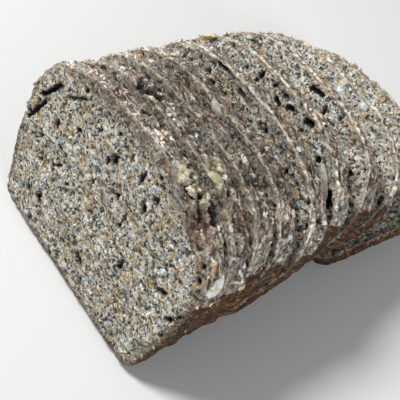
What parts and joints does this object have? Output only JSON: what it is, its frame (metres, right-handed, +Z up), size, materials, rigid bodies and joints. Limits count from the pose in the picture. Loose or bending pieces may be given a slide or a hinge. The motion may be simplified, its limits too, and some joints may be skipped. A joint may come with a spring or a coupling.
{
  "type": "sliced tin loaf",
  "caption": "Dense wholegrain tin loaf with seeds, cut into slices that still stand together, leaning further and further back until the last one lies flat.",
  "frame": {"origin": "under the middle of the loaf's box, on the surface that the slices rest on", "axes": "+X along the loaf, the way the slices' tops fall, from the front slice to the one that lies flat; +Y across the loaf; +Z up"},
  "size_m": [0.194, 0.1178, 0.0744],
  "materials": {
    "rye_crumb": "matt, open dense crumb"
  },
  "bodies": {
    "root": {"slice_01": "rye_crumb", "slice_02": "rye_crumb", "slice_03": "rye_crumb", "slice_04": "rye_crumb", "slice_05": "rye_crumb", "slice_06": "rye_crumb", "slice_07": "rye_crumb", "slice_08": "rye_crumb", "slice_09": "rye_crumb", "slice_10": "rye_crumb"}
  },
  "joints": []
}
